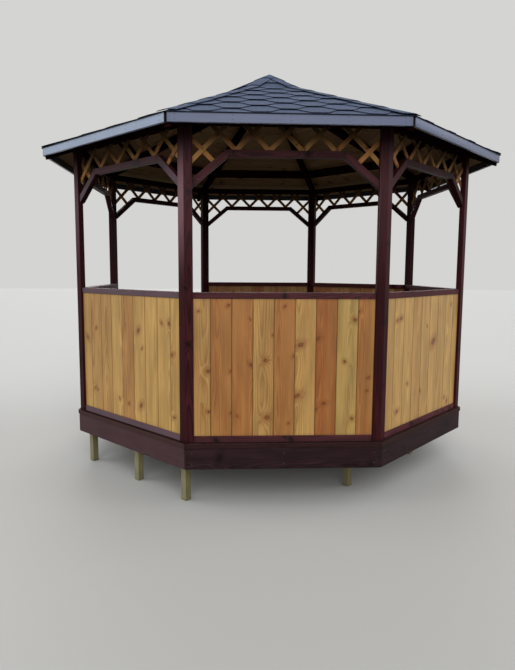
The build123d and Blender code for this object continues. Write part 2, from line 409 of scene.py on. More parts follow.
        # Drying cracks
        crack: Number = 0.0
        if self.checks:
            lines = s.join(length * 2.2 + seed_y * 9.0, across * 70.0, through * 70.0)
            crack = (s.noise(lines, 1.0, 1.0) - 0.5).size()
            crack = (1.0 - crack.rise(0.0, self.crack_width)) * patchiness.rise(0.5, 0.62) * self.checks
            colour = s.scale(colour, 1.0 - crack * 0.6)
        height = fibres * 0.45 + late * 0.35 - knot_mask * 0.3 + ripple * 0.5
        height = height - crack * 2.0 if self.checks else height
        roughness = self.rough + (fibres - 0.5) * 0.2 + (patches - 0.5) * 0.14 + worn * 0.15
        return {
            "Base Color": colour,
            "Roughness": roughness,
            "Specular IOR Level": self.shine,
            "Coat Weight": self.coat,
            "Coat Roughness": self.coat_rough,
            "Normal": s.bump(height, self.relief, self.relief_depth),
        }


@dataclass(frozen=True)
class ShingleFinish:
    """Bitumen shingle faced with slate granules."""

    name: str
    body: Colour
    dark: Colour
    light: Colour
    edge: Colour
    dust: Colour
    grain: float = 780.0
    shine: float = 0.04
    relief: float = 0.5
    relief_depth: float = 0.0012

    def surface(self, s: Sheet) -> dict[str, Any]:
        """Granules of three shades, lighter and darker by tab.

        Args:
            s: Sheet of the material.

        Returns:
            Values of the shader.
        """
        position = s.add("TexCoord", {}, {}, "Object")
        tone = s.split(s.attribute("tone"))[1]
        grit = s.add("TexVoronoi", {}, {"Vector": position, "Scale": self.grain}, "Color")
        bright, dull, rough = s.split(grit)
        colour = s.mix(bright.rise(0.55, 1.0) * 0.75, self.body, self.light)
        colour = s.mix(dull.rise(0.5, 1.0) * 0.7, colour, self.dark)
        cloud = s.noise(position, 4.0, 4.0)
        mottle = s.noise(position, 38.0, 3.0)
        colour = s.scale(colour, tone * (0.9 + (mottle - 0.5) * 0.3 + cloud * 0.2))
        colour = s.mix(cloud.rise(0.52, 0.8) * 0.25, colour, self.dust)
        upright = s.split(s.add("NewGeometry", {}, {}, "Normal"))[2]
        colour = s.mix((1.0 - upright.rise(0.45, 0.7)) * 0.92, colour, self.edge)
        return {
            "Base Color": colour,
            "Roughness": 0.82 + (rough - 0.5) * 0.2,
            "Specular IOR Level": self.shine,
            "Normal": s.bump(bright * 0.6 + mottle * 0.5, self.relief, self.relief_depth),
        }


@dataclass(frozen=True)
class ZincFinish:
    """Dull zinc of nail and screw heads, with rust in the recesses."""

    name: str
    metal: Colour
    rust: Colour
    spot_scale: float = 420.0
    relief: float = 0.3
    relief_depth: float = 0.0003

    def surface(self, s: Sheet) -> dict[str, Any]:
        """Metal that is dull and rough where it rusts.

        Args:
            s: Sheet of the material.

        Returns:
            Values of the shader.
        """
        spots = s.noise(s.add("TexCoord", {}, {}, "Object"), self.spot_scale, 3.0)
        rusty = spots.rise(0.5, 0.68)
        return {
            "Base Color": s.mix(rusty, self.metal, self.rust),
            "Metallic": 0.5 - rusty * 0.4,
            "Roughness": 0.5 + rusty * 0.35,
            "Normal": s.bump(spots, self.relief, self.relief_depth),
        }


@dataclass(frozen=True)
class FloorFinish:
    """Plain pale studio floor, which lights the gazebo no more than grass would."""

    shown: Colour = shade(178, 178, 176)
    ground: Colour = shade(96, 98, 90)

    def surface(self, s: Sheet) -> dict[str, Any]:
        """One colour as it is seen, and a darker one for the light it gives back."""
        return {"Base Color": s.mix(s.seen(), self.ground, self.shown), "Roughness": 0.9}


class Finish(Enum):
    """Finishes of the gazebo, each named after its slot in the record."""

    # Each bleach colour is weathering mixed with painted sky light on the lit side
    PILE = TimberFinish(
        "pile_timber",
        pale=shade(138, 132, 98), warm=shade(120, 109, 76), late=shade(96, 86, 54),
        knot=shade(78, 60, 38), worn=shade(178, 172, 132), damp=shade(84, 83, 58),
        bleach_and_sky_light=shade(152, 150, 122), fibre=0.5, wear=0.4, damp_top=0.16, damp_share=0.75,
        bleach_and_sky_light_share=0.3, rough=0.8, shine=0.2, relief=0.8, checks=0.8,
    )
    FRAME = TimberFinish(
        "frame_timber",
        pale=shade(146, 118, 80), warm=shade(126, 94, 60), late=shade(96, 68, 40),
        knot=shade(62, 40, 24), worn=shade(170, 146, 108), damp=shade(78, 70, 52),
        fibre=0.45, damp_share=0.3, rough=0.8, shine=0.1, relief=0.7, checks=0.5,
    )
    FLOOR = TimberFinish(
        "floor_stain",
        pale=shade(44, 26, 25), warm=shade(38, 21, 20), late=shade(24, 14, 14),
        knot=shade(16, 9, 9), worn=shade(86, 60, 50), bleach_and_sky_light=shade(84, 62, 60),
        fibre=0.5, streak=0.6, wear=0.45, damp_share=0.0, bleach_and_sky_light_share=0.5, rough=0.6, shine=0.06,
        relief=0.5, checks=0.4, blotch=0.6, cloud=0.5,
    )
    SKIRT = TimberFinish(
        "skirt_stain",
        pale=shade(44, 26, 30), warm=shade(32, 17, 19), late=shade(12, 8, 9),
        knot=shade(9, 5, 6), worn=shade(84, 60, 56), damp=shade(20, 17, 19),
        bleach_and_sky_light=shade(90, 66, 70), fibre=0.8, streak=1.0, figure=0.8, wear=0.5, damp_top=0.42,
        damp_share=0.5, bleach_and_sky_light_share=0.6, shine=0.06, relief=0.6, checks=0.6, blotch=1.0, cloud=0.9,
    )
    # The posts take painted sky light on their lit faces and painted shade under the roof
    STAIN = TimberFinish(
        "dark_stain",
        pale=shade(60, 23, 27), warm=shade(46, 14, 17), late=shade(20, 7, 9),
        knot=shade(12, 5, 6), worn=shade(104, 60, 52), damp=shade(34, 21, 22),
        bleach_and_sky_light=shade(120, 89, 97), fibre=0.6, streak=0.8, figure=0.7, wear=0.35, damp_share=0.1,
        bleach_and_sky_light_share=0.65, rough=0.5, shine=0.06, relief=0.5, checks=0.5, blotch=0.8, cloud=0.45,
        eaves_shade=1.0,
    )
    # Greyer copy of the dark stain: painted sky reflection on rails, arches and braces
    SKY_LIT_RAIL_STAIN = replace(
        STAIN, name="sky_lit_rail_stain",
        pale=shade(62, 29, 32), warm=shade(48, 20, 22), late=shade(22, 10, 12),
        bleach_and_sky_light=shade(108, 96, 104), eaves_shade=0.8, shine=0.04,
    )
    ROOF_STAIN = replace(STAIN, name="roof_stain", bleach_and_sky_light_share=0.0, rough=0.8, shine=0.0)
    HONEY = TimberFinish(
        "honey_pine",
        pale=shade(178, 141, 82), warm=shade(154, 90, 42), late=shade(126, 68, 28),
        knot=shade(88, 46, 22), worn=shade(190, 152, 94), damp=shade(148, 142, 82),
        fibre=0.3, streak=0.6, figure=0.46, knots=0.75, wear=0.2, damp_top=0.55, damp_share=0.1,
        rough=0.42, shine=0.25, coat=0.05, relief=0.3, blotch=1.0, seam=0.45, cloud=0.28,
    )
    # Its slats darken towards their tops with painted shade under the roof
    LATTICE = TimberFinish(
        "lattice_pine",
        pale=shade(178, 134, 76), warm=shade(150, 92, 50), late=shade(118, 72, 36),
        knot=shade(76, 42, 22), worn=shade(194, 158, 104),
        fibre=0.3, figure=0.45, wear=0.35, damp_share=0.0, rough=0.6, shine=0.12, relief=0.4,
        blotch=0.5, eaves_shade=2.0,
    )
    # Its bleach colour is painted sky reflection on faces turned to the lit side, and its damp colour
    # the near black of the inner faces and board ends
    FASCIA = TimberFinish(
        "fascia_paint",
        pale=shade(92, 101, 130), warm=shade(84, 92, 122), late=shade(76, 83, 112),
        knot=shade(80, 80, 98), worn=shade(150, 144, 146), damp=shade(22, 16, 18),
        bleach_and_sky_light=shade(156, 172, 196), fibre=0.14, streak=0.2, figure=0.25, knots=0.35, wear=0.4,
        damp_share=0.0, bleach_and_sky_light_share=0.7, rough=0.4, shine=0.3, coat=0.1, relief=0.25, blotch=0.4,
        dark_back=0.95,
    )
    SHEATHING = TimberFinish(
        "sheathing_board",
        pale=shade(142, 118, 89), warm=shade(124, 95, 69), late=shade(93, 70, 50),
        knot=shade(40, 26, 16), worn=shade(118, 98, 72),
        fibre=0.45, streak=0.5, damp_share=0.0, rough=0.85, shine=0.05, relief=0.7, blotch=0.7,
    )
    SHINGLE = ShingleFinish(
        "slate_shingle",
        body=shade(63, 75, 99), dark=shade(36, 45, 65), light=shade(95, 107, 134),
        edge=shade(12, 13, 20), dust=shade(88, 95, 112),
    )
    ZINC = ZincFinish("zinc_heads", metal=shade(64, 58, 57), rust=shade(46, 29, 23))

    def material(self) -> bpy.types.Material:
        """Material of this finish, shared by all its pieces."""
        return material(self.value.name + "_finish", self.value.surface)


# Joinery


def take(*pieces: Piece) -> None:
    """Selects only these pieces.

    Args:
        pieces: Pieces to select, the active one first.
    """
    bpy.ops.object.select_all(action="DESELECT")
    for piece in pieces:
        piece.select_set(True)
    bpy.context.view_layer.objects.active = pieces[0]


@contextmanager
def edit(piece: Piece) -> Iterator[None]:
    """Puts a piece in edit mode with everything selected, and leaves it again.

    Args:
        piece: Piece to edit.
    """
    take(piece)
    bpy.ops.object.mode_set(mode="EDIT")
    bpy.ops.mesh.select_all(action="SELECT")
    yield
    bpy.ops.object.mode_set(mode="OBJECT")


def primitive(kind: str, **settings: Any) -> Piece:
    """Adds a mesh primitive, its place, turn and size put into its mesh.

    Args:
        kind: Kind of primitive.
        settings: Its settings.

    Returns:
        The piece.
    """
    bpy.ops.object.select_all(action="DESELECT")
    getattr(bpy.ops.mesh, "primitive_%s_add" % kind)(**settings)
    bpy.ops.object.transform_apply(location=True, rotation=True, scale=True)
    return bpy.context.object


def block(name: str, low: Triple, high: Triple) -> Piece:
    """Squared block of timber between two corners.

    Args:
        name: Name of the piece.
        low: Lowest corner.
        high: Highest corner.

    Returns:
        The block.
    """
    middle = [(a + b) / 2 for a, b in zip(low, high)]
    size = [b - a for a, b in zip(low, high)]
    piece = primitive("cube", size=1.0, location=middle, scale=size)
    piece.name = name
    return piece


def saw(piece: Piece, point: Triple, normal: Triple) -> None:
    """Saws off all that lies beyond a plane, and closes the cut.

    Args:
        piece: Piece to cut.
        point: Point on the plane.
        normal: Direction of the side that falls away.
    """
    with edit(piece):
        bpy.ops.mesh.bisect(plane_co=point, plane_no=normal, clear_outer=True, use_fill=True)


def saw_to_hips(piece: Piece, gap: float = 0.0) -> None:
    """Saws a front-face piece to the two upright planes of its corners.

    Args:
        piece: Piece of the front bay or roof face.
        gap: Width of the joint left at each corner.
    """
    for side in (-1.0, 1.0):
        normal = (side * math.cos(HALF), math.sin(HALF), 0.0)
        point = tuple(-gap / 2 * c for c in normal)
        saw(piece, point, normal)


def modify(piece: Piece, kind: str, **settings: Any) -> None:
    """Adds one modifier and applies it.

    Args:
        piece: Piece to change.
        kind: Modifier type.
        settings: Modifier settings.
    """
    take(piece)
    modifier = piece.modifiers.new(kind.lower(), kind)
    for key, setting in settings.items():
        setattr(modifier, key, setting)
    bpy.ops.object.modifier_apply(modifier=modifier.name)


def repeat(piece: Piece, count: int, step: Triple) -> None:
    """Repeats a piece in a row, a step apart."""
    modify(
        piece, "ARRAY", count=count, use_relative_offset=False,
        use_constant_offset=True, constant_offset_displace=step,
    )


def soften(piece: Piece, width: float, segments: int = 2) -> None:
    """Rounds every arris by a small bevel."""
    modify(
        piece, "BEVEL", width=width, segments=segments,
        limit_method="ANGLE", angle_limit=SMOOTH_UNDER,
    )


def copied(piece: Piece, name: str, move: Matrix = Matrix.Identity(4)) -> Piece:
    """Copy with its own mesh, moved.

    Args:
        piece: Piece to copy.
        name: Name of the copy.
        move: Where the copy goes.

    Returns:
        The copy.
    """
    copy = bpy.data.objects.new(name, piece.data.copy())
    copy.data.transform(move)
    bpy.context.scene.collection.objects.link(copy)
    return copy


def bay_turn(index: int) -> Matrix:
    """Turn from the front bay to another bay."""
    return Matrix.Rotation(math.radians(TURN * index), 4, "Z")


def joined(name: str, pieces: Sequence[Piece]) -> Piece:
    """Joins pieces into one.

    Args:
        name: Name of the joined piece.
        pieces: Pieces to join.

    Returns:
        The joined piece.
    """
    take(*pieces)
    if len(pieces) > 1:
        bpy.ops.object.join()
    pieces[0].name = name
    pieces[0].data.name = name
    return pieces[0]


def ring_of(name: str, piece: Piece) -> Piece:
    """Repeats a front-bay piece in every bay and drops the pattern.

    Args:
        name: Name of the ring.
        piece: Pattern in the front bay.

    Returns:
        The ring as one piece.
    """
    ring = joined(name, [copied(piece, name, bay_turn(k)) for k in range(SIDES)])
    bpy.data.objects.remove(piece)
    return ring


class Lie(Enum):
    """How the grain of a timber lies."""

    LONGEST = "along the timber's longest side"
    UPRIGHT = "straight up, with its face outwards"
    ROUND = "along its bay, level with the eaves"


@dataclass(frozen=True)
class Mark:
    """Tone and knots that are listed for one timber."""

    tone: Triple
    knots: tuple[Triple, ...] = ()


def loose_parts(mesh: bpy.types.Mesh) -> np.ndarray:
    """Number of the loose part that each vertex belongs to.

    Args:
        mesh: Mesh to read.

    Returns:
        One label for each vertex.
    """
    edges = np.empty(len(mesh.edges) * 2, int)
    mesh.edges.foreach_get("vertices", edges)
    first, second = edges[0::2], edges[1::2]
    labels = np.arange(len(mesh.vertices))
    while True:
        least = np.minimum(labels[first], labels[second])
        fresh = labels.copy()
        np.minimum.at(fresh, first, least)
        np.minimum.at(fresh, second, least)
        fresh = fresh[fresh]
        if np.array_equal(fresh, labels):
            return labels
        labels = fresh


def grain_axes(points: np.ndarray, lie: Lie) -> np.ndarray:
    """Directions along, across and through one timber.

    Args:
        points: Vertices of the timber.
        lie: How its grain lies.

    Returns:
        Three unit rows.
    """
    middle = points.mean(0)
    angle = math.atan2(middle[1], middle[0]) + math.pi / 2
    bay = round(math.degrees(angle) / TURN) * math.radians(TURN) - math.pi / 2
    outward = np.array([math.cos(bay), math.sin(bay), 0.0])
    tangent = np.array([-math.sin(bay), math.cos(bay), 0.0])
    if lie is Lie.UPRIGHT:
        return np.array([[0.0, 0.0, 1.0], tangent, outward])
    spread, vectors = np.linalg.eigh(np.cov((points - middle).T))
    along = vectors[:, 2]
    through = vectors[:, 0]
    if lie is Lie.ROUND:
        along = tangent
        through = through if abs(through @ tangent) < 0.5 else vectors[:, 1]
        through = through - (through @ along) * along
    elif spread[1] < spread[0] * 1.5:
        # A section this square faces outwards
        through = outward - (outward @ along) * along
    through = through / np.linalg.norm(through)
    return np.array([along, np.cross(through, along), through])


def write_attribute(mesh: bpy.types.Mesh, name: str, values: Any, domain: str = "POINT") -> None:
    """Stores a vector attribute on a mesh."""
    store = mesh.attributes.get(name) or mesh.attributes.new(name, "FLOAT_VECTOR", domain)
    store.data.foreach_set("vector", np.ascontiguousarray(values, np.float32).ravel())


def tone_faces(piece: Piece, tone: Callable[[Vector], float]) -> None:
    """Gives each face the tone of its place, as shingles have."""
    tones = [(0.0, tone(face.center), 0.0) for face in piece.data.polygons]
    write_attribute(piece.data, "tone", tones, "FACE")


def mark_timbers(
    piece: Piece,
    seed: int,
    lie: Lie = Lie.LONGEST,
    spread: Triple = (0.9, 0.1, 0.0),
    knot_size: float = 0.009,
    light: float = 1.0,
    marks: Callable[[np.ndarray], Mark] | None = None,
) -> None:
    """Gives every loose timber of a piece its own grain frame, tone and knots.

    Args:
        piece: Piece made of loose timbers.
        seed: Seed of the piece's draws.
        lie: How the grain lies.
        spread: Range of warmth, of lightness about the usual, and of green tint.
        knot_size: Usual radius of a knot.
        light: Usual lightness.
        marks: Gives the tone and knots of the timber at a place, if listed.
    """
    draw = random.Random(seed)
    mesh = piece.data
    count = len(mesh.vertices)
    points = np.empty(count * 3)
    mesh.vertices.foreach_get("co", points)
    points = points.reshape(-1, 3)
    labels = loose_parts(mesh)
    names = ("place", "half", "seed", "tone") + KNOTS
    store = {name: np.zeros((count, 3)) for name in names}
    for label in np.unique(labels):
        inside = labels == label
        axes = grain_axes(points[inside], lie)
        local = points[inside] @ axes.T
        low, high = local.min(0), local.max(0)
        half = (high - low) / 2
        store["place"][inside] = local - (low + high) / 2
        store["half"][inside] = half
        store["seed"][inside] = [draw.random() for _ in range(3)]
        lightness = light + draw.uniform(-spread[1], spread[1])
        tone = (draw.random() * spread[0], lightness, draw.random() * spread[2])
        knots = []
        # Long timbers have more knots
        for _ in KNOTS:
            radius = knot_size * (0.5 + draw.random())
            spot = (draw.uniform(-0.9, 0.9) * half[0], draw.uniform(-0.8, 0.8) * half[1], radius)
            knots.append(spot if draw.random() < 0.3 + half[0] * 0.6 else NO_KNOT)
        if marks:
            mark = marks((points[inside].min(0) + points[inside].max(0)) / 2)
            tone = mark.tone
            knots = (list(mark.knots) + [NO_KNOT] * len(KNOTS))[:len(KNOTS)]
        store["tone"][inside] = tone
        for name, knot in zip(KNOTS, knots):
            store[name][inside] = knot
    for name, values in store.items():
        write_attribute(mesh, name, values)


def deliver(piece: Piece, finish: Finish, node: str = "", slot: str = "") -> None:
    """Dresses a finished piece, fixes it to the gazebo and reports it.

    Args:
        piece: Finished piece.
        finish: Its finish.
        node: CAD node that it stands for, if any.
        slot: Record slot, where it isn't the finish's own name; not used.
    """
    piece.data.materials.clear()
    piece.data.materials.append(finish.material())
    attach(piece, "root")
    if node:
        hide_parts(node)
    slot or finish.value.name
    piece.data.calc_loop_triangles()
    LOG.info("%s: %d triangles", piece.name, len(piece.data.loop_triangles))


def show_node(
    node: str,
    name: str,
    finish: Finish,
    arris: float,
    seed: int,
    lie: Lie = Lie.LONGEST,
    slot: str = "",
    **marks: Any,
) -> None:
    """Shows the timbers of a CAD node in their own shapes, with softened arrises.

    Args:
        node: CAD node.
        name: Name of the piece.
        finish: Its finish.
        arris: Width of the softened arris.
        seed: Seed of the marks.
        lie: How the grain lies.
        slot: Record slot, where it isn't the finish's own name.
        marks: Spread, knot size and light of the marks.
    """
    timber = copied(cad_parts[node], name)
    with edit(timber):
        bpy.ops.mesh.remove_doubles(threshold=WELD)
        bpy.ops.mesh.dissolve_limited(angle_limit=FLAT_UNDER)
        bpy.ops.mesh.normals_make_consistent(inside=False)
    soften(timber, arris)
    mark_timbers(timber, seed, lie, **marks)
    deliver(timber, finish, node, slot)


# Sub-assemblies


@dataclass
class Plan:
    """Octagon that the gazebo stands on."""

    panel_half: float = 0.5734
    deck_top: float = 0.430
    deck_edge: float = 1.528597
    board_face: float = 1.493597
    arch_middle: float = 1.477597

    def saw_to_posts(self, piece: Piece) -> None:
        """Saws a front-bay piece to the side faces of its two posts."""
        for side in (-1.0, 1.0):
            saw(piece, (side * self.panel_half, 0.0, 0.0), (side, 0.0, 0.0))


@dataclass(frozen=True)
class Fastener:
    """Domed steel head, modelled once and copied where it is driven."""

    radius: float
    proud: float
    easing: float = 0.6
    rim: float = 0.45
    dish: float = 0.7

    def model(self) -> Piece:
        """Models one head at the origin, its face along -Y.

        Returns:
            The head.
        """
        head = primitive(
            "cylinder", vertices=12, radius=self.radius, depth=self.proud * 2,
            rotation=(math.pi / 2, 0, 0),
        )
        modify(head, "BEVEL", width=self.proud * self.easing, segments=2, limit_method="ANGLE")
        chosen = min(head.data.polygons, key=lambda p: p.center.y).index
        with edit(head):
            bpy.ops.mesh.select_all(action="DESELECT")
            bpy.ops.object.mode_set(mode="OBJECT")
            head.data.polygons[chosen].select = True
            bpy.ops.object.mode_set(mode="EDIT")
            bpy.ops.mesh.inset(thickness=self.radius * self.rim)
            sunk = (0, self.proud * self.dish, 0)
            bpy.ops.mesh.extrude_region_move(TRANSFORM_OT_translate={"value": sunk})
        return head

    def drive(self, name: str, finish: Finish, places: Sequence[Triple]) -> None:
        """Drives heads at places of the front bay, and the same in every other bay.

        Args:
            name: Name of the heads as one piece.
            finish: Finish of the timber that they hold.
            places: Where each head's middle lies in the front bay.
        """
        head = self.model()
        spots = [
            copied(head, name, bay_turn(k) @ Matrix.Translation(place))
            for k in range(SIDES)
            for place in places
        ]
        bpy.data.objects.remove(head)
        deliver(joined(name, spots), Finish.ZINC, slot=finish.value.name)


@dataclass
class Substructure:
    """Piles, bearers, joists and rim under the floor."""

    pile_arris: float = 0.004
    beam_arris: float = 0.0025

    def build(self) -> None:
        """Dresses the four groups of timbers."""
        show_node(
            "ground_piles", "pile_posts", Finish.PILE, self.pile_arris, 11,
            spread=(0.8, 0.2, 0.0), knot_size=0.007,
        )
        for seed, node in enumerate(("floor_bearers", "floor_joists", "rim_joists"), 12):
            show_node(
                node, node + "_timber", Finish.FRAME, self.beam_arris, seed,
                spread=(0.8, 0.12, 0.0),
            )


@dataclass
class Deck:
    """Floor of boards inside a mitred border."""

    plan: Plan
    thickness: float = 0.030
    border: float = 0.095
    board: float = 0.094
    gap: float = 0.0006
    arris: float = 0.0025
    turn: float = -45.0
    mitre: float = 0.0015

    def build(self) -> None:
        """Lays the border and the boards between it."""
        top = self.plan.deck_top
        under = top - self.thickness
        edge = self.plan.deck_edge
        low = (-ROUGH_HALF, -edge, under)
        board = block("border", low, (ROUGH_HALF, self.border - edge, top))
        saw_to_hips(board, self.mitre)
        border = ring_of("border", board)
        inner = edge - self.border - self.gap
        pitch = self.board + self.gap
        count = math.ceil(2 * inner / pitch)
        start = -count * pitch / 2
        low = (-ROUGH_RADIUS, start, under)
        field = block("field", low, (ROUGH_RADIUS, start + self.board, top))
        repeat(field, count, (0, pitch, 0))
        field.data.transform(Matrix.Rotation(math.radians(self.turn), 4, "Z"))
        for k in range(SIDES):
            angle = math.radians(TURN * k)
            normal = (math.cos(angle), math.sin(angle), 0.0)
            saw(field, tuple(inner * c for c in normal), normal)
        deck = joined("floorboards", [border, field])
        soften(deck, self.arris)
        mark_timbers(deck, 21, spread=(0.9, 0.12, 0.0), knot_size=0.010)
        deliver(deck, Finish.FLOOR, "deck_floor")


@dataclass
class Skirt:
    """Skirt boards round the floor frame, with their screws."""

    arris: float = 0.003
    face: float = 1.522597
    inset: float = 0.045
    edge: float = 0.035
    screw: Fastener = Fastener(0.0042, 0.0008)

    def build(self) -> None:
        """Dresses the skirt and drives its screws."""
        show_node(
            "skirt_boards", "skirting_boards", Finish.SKIRT, self.arris, 31, Lie.ROUND,
            spread=(0.9, 0.22, 0.0), knot_size=0.011,
        )
        low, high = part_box("skirt_boards")
        reach = self.face * math.tan(HALF) - self.inset
        levels = (low.z + self.edge, high.z - self.edge)
        places = [(x, -self.face, z) for x in (-reach, 0.0, reach) for z in levels]
        self.screw.drive("skirt_screws", Finish.SKIRT, places)


@dataclass
class Framing:
    """Stained posts, rails, braces and beams."""

    arris: float = 0.0022
    knot_size: float = 0.008

    def build(self) -> None:
        """Dresses every stained timber, each kind with its own light and stain: more light paints
        highlight on the rails, arches and braces, less paints shade on the timbers under the roof.
        """
        stain, rail, shaded = Finish.STAIN, Finish.SKY_LIT_RAIL_STAIN, Finish.ROOF_STAIN
        # Columns: piece name, grain lie, light, finish; a light above 1 paints highlight, one below 1
        # paints shade
        timbers = {
            "corner_posts": ("posts", Lie.LONGEST, 1.0, stain),
            "bottom_rails": ("lower_rails", Lie.ROUND, 2.1, rail),
            "handrails": ("hand_rails", Lie.ROUND, 2.1, rail),
            "arch_rails": ("arch_beams", Lie.ROUND, 1.25, rail),
            "knee_braces": ("braces", Lie.LONGEST, 1.2, rail),
            "header_beams": ("header_timbers", Lie.ROUND, 0.7, shaded),
            "hip_rafters": ("hip_timbers", Lie.LONGEST, 0.7, shaded),
            "purlins": ("purlin_timbers", Lie.ROUND, 0.9, shaded),
            "roof_hub": ("hub_block", Lie.LONGEST, 0.9, shaded),
        }
        for seed, (node, (name, lie, light, finish)) in enumerate(timbers.items(), 41):
            show_node(
                node, name, finish, self.arris, seed, lie, "dark_stain",
                spread=(0.9, 0.1, 0.0), knot_size=self.knot_size, light=light,
            )


class Tone(Enum):
    """Warmth, lightness and green tint of a pine board."""

    CREAM = (0.0, 1.15, 0.14)
    PALE = (0.02, 1.04, 0.05)
    STRAW = (0.14, 1.0, 0.0)
    HONEY = (0.36, 0.98, 0.0)
    AMBER = (0.62, 0.95, 0.0)
    RUST = (0.95, 0.90, 0.0)
    LIME = (0.04, 1.0, 0.45)


@dataclass(frozen=True)
class Boarding:
    """Boards of one bay from left to right, seen from outside.

    Each board's knots are given by height, place across and radius.
    """

    tones: tuple[Tone, ...]
    knots: dict[int, tuple[Triple, ...]]
    shift: float = 0.0


def shown_boarding() -> dict[str, Boarding]:
    """Boarding of the three bays that the photo shows from outside."""
    t = Tone
    return {
        "front": Boarding(
            (t.STRAW, t.AMBER, t.AMBER, t.STRAW, t.AMBER, t.PALE, t.RUST, t.LIME, t.AMBER),
            {
                0: ((-0.02, 0.040, 0.010), (-0.28, 0.042, 0.008), (0.36, -0.02, 0.006)),
                1: ((0.395, 0.045, 0.009), (-0.02, 0.062, 0.009), (-0.29, 0.062, 0.007)),
                2: ((0.02, 0.055, 0.011), (-0.31, -0.03, 0.007), (0.31, 0.05, 0.006)),
                3: ((0.05, 0.015, 0.011), (-0.32, 0.025, 0.014), (0.21, 0.06, 0.006)),
                4: ((0.075, 0.062, 0.008), (-0.36, 0.03, 0.006), (0.39, 0.0, 0.007)),
                5: ((0.148, -0.030, 0.013), (-0.18, -0.048, 0.014)),
                6: ((0.185, -0.062, 0.013), (-0.23, -0.01, 0.009), (-0.27, -0.062, 0.007)),
                7: ((0.305, 0.045, 0.012), (0.04, -0.015, 0.009), (-0.33, 0.04, 0.010)),
                8: ((-0.065, 0.02, 0.007), (-0.15, 0.012, 0.006), (0.36, -0.05, 0.007)),
            },
        ),
        "front_left": Boarding(
            (t.PALE, t.STRAW, t.STRAW, t.CREAM, t.HONEY, t.CREAM, t.CREAM, t.CREAM, t.CREAM),
            {
                0: ((0.10, 0.0, 0.013),),
                1: ((-0.28, -0.03, 0.008), (-0.29, 0.0, 0.006), (0.18, 0.0, 0.008)),
                3: ((-0.31, 0.02, 0.008),),
                4: ((-0.33, 0.0, 0.008),),
                5: ((0.20, -0.01, 0.014), (0.08, 0.03, 0.008), (-0.32, 0.01, 0.016)),
                7: ((0.27, -0.02, 0.009), (0.27, 0.055, 0.010)),
                8: ((0.07, -0.04, 0.010), (-0.34, -0.02, 0.007)),
            },
        ),
        "front_right": Boarding(
            (t.PALE, t.CREAM, t.CREAM, t.STRAW, t.PALE, t.CREAM, t.PALE, t.CREAM, t.PALE),
            {
                1: ((0.30, 0.02, 0.010), (0.29, -0.03, 0.008), (-0.33, 0.0, 0.010)),
                2: ((-0.16, 0.01, 0.008),),
                4: ((-0.24, -0.06, 0.010), (0.22, 0.02, 0.007)),
                5: ((0.10, 0.0, 0.020),),
                7: ((-0.36, -0.03, 0.010), (-0.40, 0.02, 0.013), (0.36, 0.03, 0.008)),
            },
            shift=0.013,
        ),
    }


@dataclass
class Parapets:
    """Tongued boards between the rails of seven bays."""

    plan: Plan
    foot: float = 0.461
    head: float = 1.358
    thickness: float = 0.017
    board: float = 0.133
    whole: int = 7
    arris: float = 0.003
    joint: float = 0.0012
    tongue: float = 0.003
    tongue_inset: float = 0.0055
    rough_half: float = 0.7

    def drawn_boarding(self, bay: str) -> Boarding:
        """Boarding of a bay that the photo hides or shows from inside, drawn at random.

        Args:
            bay: Name of the bay.

        Returns:
            Its boarding.
        """
        draw = random.Random(BAYS.index(bay) * 101 + 7)
        boards = range(self.whole + 2)
        t = Tone
        mixed = (t.STRAW, t.HONEY, t.AMBER, t.AMBER, t.RUST, t.AMBER, t.RUST)
        tones = tuple(draw.choice(mixed) for _ in boards)
        knots = {
            k: tuple(
                (draw.uniform(-0.4, 0.4), draw.uniform(-0.055, 0.055), draw.uniform(0.006, 0.014))
                for _ in range(draw.randint(1, 3))
            )
            for k in boards
        }
        return Boarding(tones, knots, draw.uniform(-0.012, 0.012))

    def bay_boards(self, bay: str) -> Piece:
        """Boards of one bay.

        Args:
            bay: Name of the bay.

        Returns:
            The boards as one piece, in their place.
        """
        index = BAYS.index(bay)
        boarding = shown_boarding().get(bay) or self.drawn_boarding(bay)
        outer = -self.plan.board_face
        inner = outer + self.thickness
        start = boarding.shift - self.whole * self.board / 2
        joints = [start + k * self.board for k in range(self.whole + 1)]
        edges = [-self.rough_half] + joints + [self.rough_half]
        boards = []
        for left, right in zip(edges, edges[1:]):
            low = (left + self.joint / 2, outer, self.foot)
            boards.append(block("board", low, (right - self.joint / 2, inner, self.head)))
        tongues = []
        for joint in joints:
            low = (joint - self.tongue, outer + self.tongue_inset, self.foot)
            high = (joint + self.tongue, inner - self.tongue_inset, self.head)
            tongues.append(block("tongue", low, high))
        panel = joined("boards_" + bay, boards)
        self.plan.saw_to_posts(panel)
        soften(panel, self.arris)
        panel = joined("boards_" + bay, [panel] + tongues)

        def marks(middle: np.ndarray) -> Mark:
            """Mark of the board at a place of the front bay."""
            number = sum(middle[0] > joint for joint in joints)
            return Mark(boarding.tones[number].value, boarding.knots.get(number, ()))

        mark_timbers(panel, 61 + index, Lie.UPRIGHT, marks=marks)
        panel.data.transform(bay_turn(index))
        return panel

    def build(self) -> None:
        """Boards every bay but the open one."""
        for bay in BAYS:
            if bay != OPEN_BAY:
                deliver(self.bay_boards(bay), Finish.HONEY, "parapet_" + bay)


